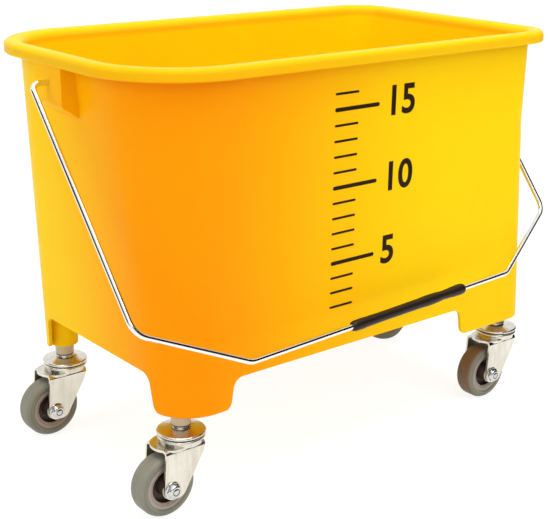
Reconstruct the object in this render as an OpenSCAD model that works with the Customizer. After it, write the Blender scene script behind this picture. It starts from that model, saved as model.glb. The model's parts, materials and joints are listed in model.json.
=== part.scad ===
// Rolling mop bucket: a drafted tub with a rolled rim on four swivel casters,
// and a wire bail with a turning grip. The back of the tub faces +Y, the bail
// hangs against the front. The origin is on the floor, under the middle of the
// whole object.

/* [Tub] */
// Length over the rim
rim_len = 426; // [400:1:450]
// Width over the rim
rim_wid = 252; // [240:1:260]
// Height of the rim above the floor
rim_z = 345; // [335:1:360]
// Radius of the rim's two broad corners, seen from above
broad_corner_r = 75; // [65:1:80]
// Radius of the rim's two tight corners, seen from above
tight_corner_r = 37; // [34:1:45]
// How far the rim stands out from the wall
rim_overhang = 12.6; // [12:0.2:14]
// Depth of the rim's down-turned lip
lip_depth = 9.4; // [8.5:0.1:11]
// Thickness of the tub wall
wall_t = 3; // [2.5:0.1:3.5]
// Height of the feet's lower edge above the floor
foot_z = 80.4; // [79:0.2:83]
// Height of the inside floor
floor_z = 117; // [116:0.5:121]

/* [Casters] */
// Wheel diameter
wheel_d = 50; // [48:0.5:51]
// Width of the tyre
wheel_wid = 18; // [16:0.5:19]
// Distance from the swivel axis back to the axle
caster_trail = 18; // [17:0.5:20]
// Distance of the left casters from the tub's middle
left_caster_x = 162; // [160:0.2:164]
// Distance of the right casters from the tub's middle
right_caster_x = 197; // [194:0.2:198]
// Distance of the casters from the tub's centre line
caster_y = 88.9; // [86:0.1:90]
// Rest angle of the front left caster
front_left_yaw = 0; // [-180:1:180]
// Rest angle of the front right caster
front_right_yaw = 0; // [-180:1:180]
// Rest angle of the rear left caster
rear_left_yaw = 0; // [-180:1:180]
// Rest angle of the rear right caster
rear_right_yaw = 121; // [-180:1:180]

/* [Bail] */
// Diameter of the bail wire
wire_d = 4.5; // [4:0.1:4.8]
// Angle at which the bail hangs forward of straight down
bail_angle = 37; // [35:0.5:39]
// Length of the bail's arms, from the pivot to the first bend
arm_len = 190.5; // [187:0.5:195]
// Further reach of the bail, from the first bend to the carrying bar
bar_drop = 45.1; // [43:0.1:48]
// Length of the straight carrying bar between its bends
bar_len = 286; // [282:1:290]
// How far the hanging bail is twisted to one side, in degrees
bail_twist = 2.1; // [0:0.1:2.2]
// Length of the grip
grip_len = 130; // [122:1:136]
// Place of the grip's middle along the carrying bar
grip_x = 22.5; // [5:0.5:45]
// Diameter of the grip's waist
grip_d = 8; // [7.5:0.1:9]

/* [Hidden] */

$fn = 64;
lap = 0.5;

// Colours
yellow = [1.00, 0.78, 0.06];
steel = [0.80, 0.80, 0.78];
nylon = [0.88, 0.84, 0.78];
grip_brown = [0.13, 0.09, 0.07];
tyre_grey = [0.50, 0.50, 0.43];
core_grey = [0.66, 0.60, 0.55];

// Tub: half sizes of the wall just under the rim, and how the walls are drafted
half_len = rim_len / 2 - rim_overhang;
half_wid = rim_wid / 2 - rim_overhang;
left_draft = 19.4;
side_draft = 1.9;
waist_z = 268;
waist_in = 1.9;
skirt_out = 9.5;
broad_r = broad_corner_r - rim_overhang;
tight_r = tight_corner_r - rim_overhang;
broad_foot_r = 36;
tight_foot_r = 20;
floor_t = 3;
floor_fillet = 10;
corner_steps = 12;

// Rim section
lip_t = 2.4;
flange_t = 2.8;
outer_roll = 4.2;
inner_roll = 6;

// Foot arches in the long sides and in the ends
arch_top = 105.8;
end_arch_top = 112;
arch_left = -129.5;
arch_right = 122;
end_arch = 79;
arch_lean = 4;
foot_edge_r = 8;

// Bail lugs on the end walls
lug_wid = 38;
lug_drop = 47;
lug_face = 38;
lug_back = 1.6;
pivot_z = rim_z - 22;
pivot_y = 4;
pivot_clear = 0.08;
arm_x = rim_len / 2 + 12;
tip_x = half_len + 1.5;
pivot_end = half_len + 1;
hook_r = 6;
shoulder_r = 16;
bar_bend_r = 14;
wire_r = wire_d / 2;
bend_swell = 0.05;
bend_lap = 0.5;

// Caster heights and radii, measured on the caster's own axis
axle_z = wheel_d / 2;
plate_z = 55.6;
sheet_t = 2;
fork_half = 14.5;
tongue_r = 15.5;
tongue_x = 10.5;
leg_end_r = 8;
leg_front = 13;
leg_back = 23;
cap_z = 66.2;
cap_r = 19.2;
cap_t = 1.6;
bead_r = 1.4;
cap_rise = 2.2;
lower_race_z = 59.8;
lower_race_r = 18.8;
ball_r = 1.6;
ball_ring_r = 14.1;
ball_count = 14;
pin_r = 4;
pin_clear = 0.06;
collar_r = 7.2;
collar_h = 2.6;
collar_z = cap_z + cap_rise;
sleeve_z = collar_z + collar_h;
sleeve_r = 8.4;
sleeve_low_r = 7.7;
socket_r = 7.2;
socket_top = 108;
boss_r = 12;
rib_t = 2.4;
rib_lift = 8;
bolt_r = 3;
bush_r = 4.6;
head_h = 3.2;
head_r = 6.3;
nut_h = 5;
core_r = 18.4;
hub_r = 7;
hub_half = 11.6;
web_half = 2.5;
core_wall = 3;

// The bail stands out past the rim at the front and past the right end, so the
// tub is shifted to bring the middle of the whole object over the origin
bail_reach = arm_len + bar_drop;
bail_front = (bail_reach * cos(bail_twist) + bar_len / 2 * sin(bail_twist)) * sin(bail_angle)
  - pivot_y + wire_r;
tub_y = (bail_front - rim_wid / 2) / 2;
tub_x = -arm_len * sin(bail_twist) / 2;

// ---------- Geometry helpers ----------

function lerp(a, b, t) = a + (b - a) * t;

function unit(v) = v / norm(v);

// Points of an arc about c from angle a0 to a1
function arc(c, r, a0, a1, steps) =
  [for (k = [0:steps]) c + r * [cos(lerp(a0, a1, k / steps)), sin(lerp(a0, a1, k / steps))]];

// One rounded corner of an outline: p is [x, y, radius], a and b its neighbours
function corner(a, p, b, steps) =
  let (
    o = [p[0], p[1]],
    u = unit([a[0], a[1]] - o),
    v = unit([b[0], b[1]] - o),
    half = acos(u * v) / 2,
    c = o + unit(u + v) * p[2] / sin(half),
    from = o + u * p[2] / tan(half) - c,
    turn = (u[0] * v[1] - u[1] * v[0] > 0 ? -1 : 1) * (180 - 2 * half),
    a0 = atan2(from[1], from[0])
  )
  p[2] == 0 ? [o] : arc(c, p[2], a0, a0 + turn, steps);

// A closed outline with every corner rounded to its own radius
function rounded(pts, steps = 6) =
  let (n = len(pts))
  [for (i = [0:n - 1]) each corner(pts[(i + n - 1) % n], pts[i], pts[(i + 1) % n], steps)];

// ---------- Tub ----------

// Plan of the outer wall at height z: [left, right, half width, broad r, tight r]
function wall(z) =
  let (down = (rim_z - z) / (rim_z - foot_z), over = (z - waist_z) / (rim_z - waist_z))
  [
    -half_len + left_draft * down,
    half_len - (z > waist_z
      ? waist_in * (1 - over)
      : waist_in - (waist_in + skirt_out) * (waist_z - z) / (waist_z - foot_z)),
    half_wid - side_draft * down,
    lerp(broad_r, broad_foot_r, down),
    lerp(tight_r, tight_foot_r, down)
  ];

function rim_plan() =
  [-rim_len / 2, rim_len / 2, rim_wid / 2, broad_corner_r, tight_corner_r];

function inset(w, d) = [w[0] + d, w[1] - d, w[2] - d, w[3] - d, w[4] - d];

// A rounded rectangle at height z, as points of one ring of the loft
function ring(w, z) =
  [for (p = concat(
    arc([w[1] - w[4], w[4] - w[2]], w[4], -90, 0, corner_steps),
    arc([w[1] - w[4], w[2] - w[4]], w[4], 0, 90, corner_steps),
    arc([w[0] + w[3], w[2] - w[3]], w[3], 90, 180, corner_steps),
    arc([w[0] + w[3], w[3] - w[2]], w[3], 180, 270, corner_steps)
  )) [p[0], p[1], z]];

// Section of the rim, from the inside over the top to the lip and under the flange:
// [distance in from the outer edge, height]
function rim_section() =
  concat(
    arc([rim_overhang + wall_t - inner_roll, rim_z - inner_roll], inner_roll, 0, 90, 4),
    arc([outer_roll, rim_z - outer_roll], outer_roll, 90, 180, 5),
    [[0, rim_z - lip_depth + 0.8], [0.8, rim_z - lip_depth]],
    [[lip_t, rim_z - lip_depth], [lip_t, rim_z - flange_t - 1.6]],
    [[lip_t + 1.6, rim_z - flange_t], [rim_overhang - 2, rim_z - flange_t]],
    [[rim_overhang, rim_z - flange_t - 2]]
  );

// The tub's shell is one loft: floor, inner wall, rim, outer wall, skirt, underside
function tub_rings() =
  concat(
    [for (p = arc([0, 0], floor_fillet, 270, 360, 4))
      ring(inset(wall(floor_z), wall_t + floor_fillet - p[0]), floor_z + floor_fillet + p[1])],
    [ring(inset(wall(waist_z), wall_t), waist_z)],
    [for (p = rim_section()) ring(inset(rim_plan(), p[0]), p[1])],
    [for (z = [waist_z, (waist_z + foot_z) / 2, foot_z + 1.2]) ring(wall(z), z)],
    [ring(inset(wall(foot_z), 1.2), foot_z)],
    [ring(inset(wall(foot_z), wall_t), foot_z)],
    [ring(inset(wall(floor_z - floor_t), wall_t), floor_z - floor_t)]
  );

module loft(rings) {
  m = len(rings);
  n = len(rings[0]);
  polyhedron(
    points = [for (r = rings) each r],
    faces = concat(
      [[for (k = [0:n - 1]) n - 1 - k]],
      [for (i = [0:m - 2], k = [0:n - 1])
        each [
          [i * n + k, i * n + (k + 1) % n, (i + 1) * n + k],
          [i * n + (k + 1) % n, (i + 1) * n + (k + 1) % n, (i + 1) * n + k]
        ]],
      [[for (k = [0:n - 1]) (m - 1) * n + k]]
    )
  );
}

// Outline of an arch between two feet, with its feet's lower edges rounded
function arch_outline(a, b, top, top_r) =
  rounded([
    [a - foot_edge_r - arch_lean, foot_z - 3, 0],
    [a - foot_edge_r - arch_lean, foot_z, 0],
    [a - arch_lean / 2, foot_z, foot_edge_r],
    [a + arch_lean / 2, top, top_r],
    [b - arch_lean / 2, top, top_r],
    [b + arch_lean / 2, foot_z, foot_edge_r],
    [b + foot_edge_r + arch_lean, foot_z, 0],
    [b + foot_edge_r + arch_lean, foot_z - 3, 0]
  ]);

module long_side_arches() {
  rotate([90, 0, 0])
    linear_extrude(height = rim_wid, center = true)
      polygon(arch_outline(arch_left, arch_right, arch_top, 9));
}

module end_arches() {
  rotate([90, 0, 90])
    linear_extrude(height = rim_len, center = true)
      polygon(arch_outline(-end_arch, end_arch, end_arch_top, 9));
}

// A wedge under the rim that carries one end of the bail: end 0 is left, 1 right
module bail_lug(end) {
  top_in = half_len - wall_t / 2;
  low_out = abs(wall(rim_z - lug_drop)[end]) + 1;
  low_in = low_out - 1 - wall_t / 2;
  face_x = rim_len / 2 - lug_back;
  translate([0, pivot_y, 0])
    mirror([1 - end, 0, 0])
      rotate([90, 0, 0])
        linear_extrude(height = lug_wid, center = true)
          polygon(rounded([
            [top_in, rim_z - inner_roll, 0],
            [half_len + 2, rim_z - flange_t / 2, 0],
            [face_x, rim_z - flange_t / 2, 0],
            [face_x, rim_z - lug_face, 4],
            [low_out, rim_z - lug_drop, 0],
            [low_in, rim_z - lug_drop, 0]
          ]));
}

// A socket boss under the floor, with two ribs to the skirt
module caster_boss(x, side) {
  translate([x, side * caster_y, foot_z])
    cylinder(r = boss_r, h = floor_z - floor_t / 2 - foot_z);
}

// Distance at height z from a caster's axis to the middle of the wall, along X or Y
function reach(x, z, along_x) =
  let (
    w = wall(z),
    r = x > 0 ? w[4] : w[3],
    dx = (x > 0 ? x - w[1] : w[0] - x) + r,
    dy = caster_y - w[2] + r
  )
  (along_x ? sqrt(r * r - pow(max(dy, 0), 2)) - dx : sqrt(r * r - pow(max(dx, 0), 2)) - dy)
    - wall_t / 2;

// A rib from a boss to the skirt, following the wall's draft
module rib(x, along_x) {
  low = foot_z + rib_lift;
  high = floor_z - floor_t / 2;
  rotate([90, 0, 0])
    linear_extrude(height = rib_t, center = true)
      polygon([
        [0, low],
        [reach(x, low, along_x), low],
        [reach(x, high, along_x), high],
        [0, high]
      ]);
}

module boss_ribs(x, side) {
  translate([x, side * caster_y, 0]) {
    mirror([x > 0 ? 0 : 1, 0, 0]) rib(x, true);
    rotate([0, 0, side * 90]) rib(x, false);
  }
}

module tub() {
  color(yellow)
    translate([tub_x, tub_y, 0])
      difference() {
        union() {
          difference() {
            loft(tub_rings());
            long_side_arches();
            end_arches();
          }
          bail_lug(0);
          bail_lug(1);
          for (x = [-left_caster_x, right_caster_x], side = [-1, 1]) {
            caster_boss(x, side);
            boss_ribs(x, side);
          }
        }
        for (x = [-left_caster_x, right_caster_x], side = [-1, 1])
          translate([x, side * caster_y, foot_z - lap])
            cylinder(r = socket_r, h = socket_top - foot_z + lap);
        for (end = [0, 1])
          translate([0, pivot_y, pivot_z])
            mirror([1 - end, 0, 0])
              rotate([0, 90, 0])
                translate([0, 0, pivot_end])
                  cylinder(r = wire_r + pivot_clear, h = rim_len);
      }
}

// ---------- Bail ----------

// A point of the bail: x across, s along the arm from the pivot
function bail_point(x, s) =
  [x, pivot_y - s * sin(bail_angle), pivot_z - s * cos(bail_angle)];

// The same, turned in the bail's own plane by its twist
function twisted(x, s) =
  bail_point(
    x * cos(bail_twist) + s * sin(bail_twist),
    s * cos(bail_twist) - x * sin(bail_twist)
  );

function bail_path() = [
  bail_point(-tip_x, 0),
  bail_point(-arm_x, 0),
  twisted(-arm_x, arm_len),
  twisted(-bar_len / 2, bail_reach),
  twisted(bar_len / 2, bail_reach),
  twisted(arm_x, arm_len),
  bail_point(arm_x, 0),
  bail_point(tip_x, 0)
];

bail_bends = [0, hook_r, shoulder_r, bar_bend_r, bar_bend_r, shoulder_r, hook_r, 0];

// Length that the bend at point i takes from each straight beside it
function bend_take(path, bends, i) =
  bends[i] == 0
    ? 0
    : bends[i] / tan(acos(unit(path[i - 1] - path[i]) * unit(path[i + 1] - path[i])) / 2);

// Places children so that their +X, +Y and +Z run along x, y and z from o
module frame(o, x, y, z) {
  multmatrix([
    [x[0], y[0], z[0], o[0]],
    [x[1], y[1], z[1], o[1]],
    [x[2], y[2], z[2], o[2]],
    [0, 0, 0, 1]
  ])
    children();
}

module straight_wire(a, b) {
  z = unit(b - a);
  x = unit(cross(abs(z[2]) < 0.9 ? [0, 0, 1] : [1, 0, 0], z));
  frame(a, x, cross(z, x), z)
    cylinder(r = wire_r, h = norm(b - a));
}

module wire_bend(a, p, b, r) {
  u = unit(p - a);
  v = unit(b - p);
  turn = acos(u * v);
  start = p - u * r * tan(turn / 2);
  centre = p - unit(u - v) * r / cos(turn / 2);
  x = unit(start - centre);
  frame(centre, x, u, cross(x, u))
    rotate_extrude(angle = turn)
      translate([r, 0])
        circle(r = wire_r + bend_swell);
}

module bail_wire() {
  path = bail_path();
  last = len(path) - 1;
  color(steel)
    translate([tub_x, tub_y, 0]) {
      for (i = [0:last - 1]) {
        u = unit(path[i + 1] - path[i]);
        straight_wire(
          path[i] + u * (bend_take(path, bail_bends, i) - (i > 0 ? bend_lap : 0)),
          path[i + 1] - u * (bend_take(path, bail_bends, i + 1) - (i + 1 < last ? bend_lap : 0))
        );
      }
      for (i = [1:last - 1])
        wire_bend(path[i - 1], path[i], path[i + 1], bail_bends[i]);
    }
}

// The grip is a sleeve that turns on the bar, with a slight swell at each end
module grip() {
  path = bail_path();
  z = unit(path[4] - path[3]);
  mid = (path[3] + path[4]) / 2 + z * grip_x;
  x = unit(cross([0, 0, 1], z));
  bore = wire_r + pivot_clear;
  waist = grip_d / 2;
  h = grip_len / 2;
  color(grip_brown)
    translate([tub_x, tub_y, 0])
      frame(mid, x, cross(z, x), z)
        rotate_extrude()
          polygon(concat(
            [[bore, -h], [bore + 1, -h]],
            [for (k = [0:8]) [waist + 0.8 * sin(k * 22.5), -h + 1 + k * 2.5]],
            [for (k = [8:-1:0]) [waist + 0.8 * sin(k * 22.5), h - 1 - k * 2.5]],
            [[bore + 1, h], [bore, h]]
          ));
}

// ---------- Caster ----------
// Each piece is drawn on the caster's own axis, with the wheel trailing to -X.

module at_caster(x, side, yaw) {
  translate([tub_x + x, tub_y + side * caster_y, 0])
    rotate([0, 0, yaw])
      children();
}

module at_front_left() { at_caster(-left_caster_x, -1, front_left_yaw) children(); }
module at_front_right() { at_caster(right_caster_x, -1, front_right_yaw) children(); }
module at_rear_left() { at_caster(-left_caster_x, 1, rear_left_yaw) children(); }
module at_rear_right() { at_caster(right_caster_x, 1, rear_right_yaw) children(); }

module on_axle() {
  translate([-caster_trail, 0, axle_z])
    rotate([90, 0, 0])
      children();
}

// Nylon sleeve that grips the kingpin in the foot
module socket() {
  color(nylon)
    rotate_extrude()
      polygon([
        [pin_r + 0.02, sleeve_z],
        [sleeve_low_r, sleeve_z],
        [sleeve_r, foot_z],
        [socket_r - 0.02, foot_z],
        [socket_r - 0.02, socket_top - 2],
        [socket_r - 1.2, socket_top - 0.5],
        [pin_r + 0.02, socket_top - 0.5]
      ]);
}

// Kingpin: stem, collar over the cap, and a riveted head under the fork plate
module kingpin() {
  head_top = plate_z - 0.3;
  color(steel)
    rotate_extrude()
      polygon([
        [0, head_top - 2.6],
        [5, head_top - 2.6],
        [7, head_top - 1],
        [7, head_top],
        [pin_r, head_top],
        [pin_r, collar_z],
        [collar_r, collar_z],
        [collar_r, sleeve_z - 0.6],
        [collar_r - 0.6, sleeve_z],
        [pin_r, sleeve_z],
        [pin_r, socket_top - 4],
        [pin_r - 1, socket_top - 3],
        [0, socket_top - 3]
      ]);
}

// Pressed cap over the balls: a shallow cone with a rolled rim
module race_cap() {
  color(steel)
    rotate_extrude()
      polygon(concat(
        [
          [collar_r + 1, cap_z + cap_rise - cap_t],
          [pin_r + 0.02, cap_z + cap_rise - cap_t],
          [pin_r + 0.02, cap_z + cap_rise],
          [collar_r + 1, cap_z + cap_rise]
        ],
        arc([cap_r - bead_r, cap_z - bead_r], bead_r, 80, -90, 10),
        [
          [cap_r - 2 * bead_r, cap_z - 2 * bead_r],
          [cap_r - 2 * bead_r, cap_z - cap_t],
          [ball_ring_r - ball_r, cap_z - cap_t]
        ]
      ));
}

// One ring of bearing balls, against the underside of the cap
module balls() {
  color(steel)
    for (k = [0:ball_count - 1])
      rotate([0, 0, k * 360 / ball_count])
        translate([ball_ring_r, 0, cap_z - cap_t - ball_r])
          sphere(r = ball_r);
}

// Side outline of a fork leg
function leg_outline() =
  rounded([
    [-leg_back, plate_z + sheet_t, 0],
    [leg_front, plate_z + sheet_t, 0],
    [leg_front - 2.5, plate_z - 6, 6],
    [-caster_trail + leg_end_r + 1.5, axle_z - leg_end_r, leg_end_r],
    [-caster_trail - leg_end_r, axle_z - leg_end_r, leg_end_r - 0.1]
  ], 8);

// Fork: a folded sheet with a leg each side, a round tongue and a pressed race
module fork() {
  color(steel)
    difference() {
      union() {
        intersection() {
          rotate([90, 0, 90])
            linear_extrude(height = 100, center = true)
              difference() {
                polygon(rounded([
                  [-fork_half, 0, 0],
                  [-fork_half, plate_z + sheet_t, 4],
                  [fork_half, plate_z + sheet_t, 4],
                  [fork_half, 0, 0]
                ]));
                polygon(rounded([
                  [sheet_t - fork_half, -1, 0],
                  [sheet_t - fork_half, plate_z, 2],
                  [fork_half - sheet_t, plate_z, 2],
                  [fork_half - sheet_t, -1, 0]
                ]));
              }
          rotate([90, 0, 0])
            linear_extrude(height = 2 * fork_half + 2, center = true)
              polygon(leg_outline());
        }
        translate([-tongue_x, 0, plate_z])
          cylinder(r = tongue_r, h = sheet_t);
        rotate_extrude()
          polygon(concat(
            [
              [0, lower_race_z + 1],
              [0, plate_z + sheet_t / 2],
              [lower_race_r - 2, plate_z + sheet_t / 2],
              [lower_race_r - 2, lower_race_z + 0.2]
            ],
            arc([lower_race_r - bead_r, lower_race_z + bead_r], bead_r, -70, 90, 10),
            [
              [lower_race_r - 2 * bead_r, lower_race_z + 2 * bead_r],
              [lower_race_r - 2 * bead_r, lower_race_z + 1]
            ]
          ));
      }
      cylinder(r = pin_r + pin_clear, h = 100);
      on_axle()
        cylinder(r = bolt_r + 0.05, h = 2 * fork_half + 2, center = true);
    }
}

module axle_bolt() {
  color(steel)
    on_axle() {
      translate([0, 0, fork_half])
        intersection() {
          cylinder(r = head_r, h = head_h, $fn = 6);
          translate([0, 0, -1])
            cylinder(r1 = head_r + 2.4, r2 = head_r - 1, h = head_h + 1);
        }
      translate([0, 0, -fork_half - nut_h - 1.5])
        cylinder(r = bolt_r, h = 2 * fork_half + nut_h + 1.5);
    }
}

module axle_nut() {
  color(steel)
    on_axle()
      translate([0, 0, -fork_half - nut_h])
        difference() {
          cylinder(r = head_r, h = nut_h, $fn = 6);
          translate([0, 0, -1])
            cylinder(r = bolt_r + 0.02, h = nut_h + 2);
        }
}

// Bush clamped between the legs; the wheel turns on it
module axle_bush() {
  color(steel)
    on_axle()
      difference() {
        cylinder(r = bush_r, h = 2 * (fork_half - sheet_t), center = true);
        cylinder(r = bolt_r + 0.02, h = 2 * fork_half, center = true);
      }
}

module wheel_core() {
  rim_half = wheel_wid / 2 - 1;
  color(core_grey)
    on_axle()
      rotate_extrude()
        polygon([
          [bush_r + pin_clear, -hub_half],
          [hub_r, -hub_half],
          [hub_r + 1.2, -web_half],
          [core_r - core_wall - 0.8, -web_half],
          [core_r - core_wall, -rim_half],
          [core_r, -rim_half],
          [core_r, rim_half],
          [core_r - core_wall, rim_half],
          [core_r - core_wall - 0.8, web_half],
          [hub_r + 1.2, web_half],
          [hub_r, hub_half],
          [bush_r + pin_clear, hub_half]
        ]);
}

module tyre() {
  half = wheel_wid / 2;
  inner = core_r + 0.02;
  r = wheel_d / 2;
  color(tyre_grey)
    on_axle()
      rotate_extrude()
        polygon(concat(
          [[inner, -half + 0.6], [inner + 1.4, -half]],
          arc([r - 5, -half + 5], 5, -90, -10, 6),
          arc([r - 5, half - 5], 5, 10, 90, 6),
          [[inner + 1.4, half], [inner, half - 0.6]]
        ));
}

tub();
bail_wire();
grip();
at_front_left() socket();  // front_left_socket
at_front_left() kingpin();  // front_left_kingpin
at_front_left() race_cap();  // front_left_race_cap
at_front_left() balls();  // front_left_balls
at_front_left() fork();  // front_left_fork
at_front_left() axle_bolt();  // front_left_axle_bolt
at_front_left() axle_nut();  // front_left_axle_nut
at_front_left() axle_bush();  // front_left_axle_bush
at_front_left() wheel_core();  // front_left_wheel_core
at_front_left() tyre();  // front_left_tyre
at_front_right() socket();  // front_right_socket
at_front_right() kingpin();  // front_right_kingpin
at_front_right() race_cap();  // front_right_race_cap
at_front_right() balls();  // front_right_balls
at_front_right() fork();  // front_right_fork
at_front_right() axle_bolt();  // front_right_axle_bolt
at_front_right() axle_nut();  // front_right_axle_nut
at_front_right() axle_bush();  // front_right_axle_bush
at_front_right() wheel_core();  // front_right_wheel_core
at_front_right() tyre();  // front_right_tyre
at_rear_left() socket();  // rear_left_socket
at_rear_left() kingpin();  // rear_left_kingpin
at_rear_left() race_cap();  // rear_left_race_cap
at_rear_left() balls();  // rear_left_balls
at_rear_left() fork();  // rear_left_fork
at_rear_left() axle_bolt();  // rear_left_axle_bolt
at_rear_left() axle_nut();  // rear_left_axle_nut
at_rear_left() axle_bush();  // rear_left_axle_bush
at_rear_left() wheel_core();  // rear_left_wheel_core
at_rear_left() tyre();  // rear_left_tyre
at_rear_right() socket();  // rear_right_socket
at_rear_right() kingpin();  // rear_right_kingpin
at_rear_right() race_cap();  // rear_right_race_cap
at_rear_right() balls();  // rear_right_balls
at_rear_right() fork();  // rear_right_fork
at_rear_right() axle_bolt();  // rear_right_axle_bolt
at_rear_right() axle_nut();  // rear_right_axle_nut
at_rear_right() axle_bush();  // rear_right_axle_bush
at_rear_right() wheel_core();  // rear_right_wheel_core
at_rear_right() tyre();  // rear_right_tyre
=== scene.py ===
"""Looks of a rolling mop bucket.

A drafted yellow tub with a rolled rim stands on four swivel casters. A zinc
plated wire bail with a turning grip hangs against its front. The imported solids
keep their shapes and get their finishes here. Only the grip gets a new, moulded
shape, and small moulded and printed details are added.
"""

import json
import logging
import math
from dataclasses import dataclass, field
from enum import Enum

import bmesh
import bpy
from mathutils import Matrix, Vector
from mathutils.bvhtree import BVHTree


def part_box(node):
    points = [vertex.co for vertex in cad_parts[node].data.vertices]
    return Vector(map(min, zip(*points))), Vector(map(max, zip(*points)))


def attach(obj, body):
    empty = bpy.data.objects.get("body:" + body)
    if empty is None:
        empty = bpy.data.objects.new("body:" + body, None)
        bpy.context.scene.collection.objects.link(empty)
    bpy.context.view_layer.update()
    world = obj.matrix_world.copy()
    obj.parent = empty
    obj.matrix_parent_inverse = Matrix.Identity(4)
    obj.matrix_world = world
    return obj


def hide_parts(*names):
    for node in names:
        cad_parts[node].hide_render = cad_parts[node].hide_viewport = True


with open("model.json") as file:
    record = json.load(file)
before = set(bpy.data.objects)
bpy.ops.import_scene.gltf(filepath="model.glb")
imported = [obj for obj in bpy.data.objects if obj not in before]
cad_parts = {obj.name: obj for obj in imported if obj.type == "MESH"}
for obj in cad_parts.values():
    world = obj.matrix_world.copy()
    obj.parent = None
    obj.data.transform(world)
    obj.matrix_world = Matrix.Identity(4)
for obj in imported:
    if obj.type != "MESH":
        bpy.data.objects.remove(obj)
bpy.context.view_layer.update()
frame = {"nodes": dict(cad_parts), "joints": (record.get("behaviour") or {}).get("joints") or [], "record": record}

MM = 0.001
UP = Vector((0, 0, 1))
MIDDLE = Vector((0.0, 0.0, 0.18))   # what the lamps and the cards face

Colour = tuple[float, float, float]
Place = tuple[float, float, float]
Outline = tuple[tuple[float, float], ...]
Tree = bpy.types.NodeTree
Node = bpy.types.Node
Socket = bpy.types.NodeSocket
Material = bpy.types.Material
Mesh = bmesh.types.BMesh

logging.basicConfig(level=logging.INFO, format="%(levelname)s %(message)s")
log = logging.getLogger("mop_bucket")


class Corner(Enum):
    """The four places that carry a caster."""

    FRONT_LEFT = "front_left"
    FRONT_RIGHT = "front_right"
    REAR_LEFT = "rear_left"
    REAR_RIGHT = "rear_right"


# ----------------------------------------------------------------- the frame


def span(node: str) -> tuple[Vector, Vector]:
    """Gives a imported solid's lowest and highest corners.

    Args:
        node: The solid's name.

    Returns:
        The two corners.
    """
    low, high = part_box(node)
    return Vector(low), Vector(high)


def joint(name: str) -> tuple[Vector, Vector]:
    """Looks up a joint.

    Args:
        name: The joint's name.

    Returns:
        Its place and its axis.
    """
    row = next(row for row in frame["joints"] if row["name"] == name)
    return Vector(row["pos_m"]), Vector(row["axis"]).normalized()


def wheel_line(corner: Corner) -> tuple[Vector, Vector]:
    """Finds a wheel's middle and its axle, pointing at the bolt's head.

    Args:
        corner: The wheel's corner.

    Returns:
        The middle and the direction.
    """
    centre, axle = joint(f"{corner.value}_spin")
    low, high = span(f"{corner.value}_axle_nut")
    toward_nut = (low + high) / 2 - centre
    return centre, -axle if axle.dot(toward_nut) > 0 else axle


# -------------------------------------------------------------- shader nodes


def new_node(tree: Tree, kind: str, inputs: dict[str | int, object],
             **settings: object) -> Node:
    """Adds a shader node with its settings and its inputs.

    Args:
        tree: The node tree to add to.
        kind: The node's type, without ShaderNode in front.
        inputs: For each input, a socket to link or a value to set.
        **settings: Values for the node's own settings.

    Returns:
        The node.
    """
    node = tree.nodes.new(f"ShaderNode{kind}")
    for label, value in settings.items():
        setattr(node, label, value)
    for label, value in inputs.items():
        if isinstance(value, Socket):
            tree.links.new(value, node.inputs[label])
        else:
            node.inputs[label].default_value = value
    return node


def maths(tree: Tree, operation: str, *values: Socket | float) -> Socket:
    """Adds a Math node.

    Args:
        tree: The node tree to add to.
        operation: The node's operation.
        *values: Sockets to link or numbers to set, in order.

    Returns:
        The node's result.
    """
    return new_node(tree, "Math", dict(enumerate(values)),
                    operation=operation).outputs[0]


def vector_maths(tree: Tree, operation: str, *values: Socket) -> Node:
    """Adds a Vector Math node.

    Args:
        tree: The node tree to add to.
        operation: The node's operation.
        *values: Sockets to link, in order.

    Returns:
        The node.
    """
    return new_node(tree, "VectorMath", dict(enumerate(values)),
                    operation=operation)


def ramp(tree: Tree, value: Socket, start: Socket | float, end: Socket | float,
         low: float = 0.0, high: float = 1.0, smooth: bool = False) -> Socket:
    """Maps a value from one range to another, kept within it.

    Args:
        tree: The node tree to add to.
        value: The value to map.
        start: The value that gives low.
        end: The value that gives high.
        low: The result at start.
        high: The result at end.
        smooth: Whether it eases in and out at the ends.

    Returns:
        The mapped value.
    """
    node = new_node(tree, "MapRange", {
        "Value": value, "From Min": start, "From Max": end, "To Min": low,
        "To Max": high}, interpolation_type="SMOOTHSTEP" if smooth else "LINEAR")
    return node.outputs["Result"]


def noise(tree: Tree, place: Socket, scale: Socket | float,
          **values: float) -> Socket:
    """Adds soft noise.

    Args:
        tree: The node tree to add to.
        place: The surface's coordinates.
        scale: How fine the noise is.
        **values: The noise's other inputs.

    Returns:
        The noise, about 0.5 on average.
    """
    return new_node(tree, "TexNoise", {"Vector": place, "Scale": scale} | values
                    ).outputs["Fac"]


def blend(tree: Tree, factor: Socket, first: Socket | Colour,
          second: Socket | Colour) -> Socket:
    """Mixes two colours.

    Args:
        tree: The node tree to add to.
        factor: The share of the second colour.
        first: A socket or a fixed colour.
        second: A socket or a fixed colour.

    Returns:
        The mixed colour.
    """
    ends = [end if isinstance(end, Socket) else (*end, 1.0)
            for end in (first, second)]
    return new_node(tree, "Mix", {"Factor": factor, "A": ends[0], "B": ends[1]},
                    data_type="RGBA").outputs["Result"]


def painted(tree: Tree, shader: Node, colour: Socket, roughness: Socket,
            *bumps: tuple[Socket, float]) -> None:
    """Feeds a shader its colour, its roughness and its normal.

    Args:
        tree: The material's node tree.
        shader: The shader.
        colour: The base colour.
        roughness: The roughness.
        *bumps: Each height and its depth in metres.
    """
    tree.links.new(colour, shader.inputs["Base Color"])
    tree.links.new(roughness, shader.inputs["Roughness"])
    normal = {}
    for height, depth in bumps:
        bump = new_node(tree, "Bump", {
            "Distance": depth, "Strength": 1.0, "Height": height} | normal)
        normal = {"Normal": bump.outputs["Normal"]}
    tree.links.new(normal["Normal"], shader.inputs["Normal"])


# --------------------------------------------------------------- node groups


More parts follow.
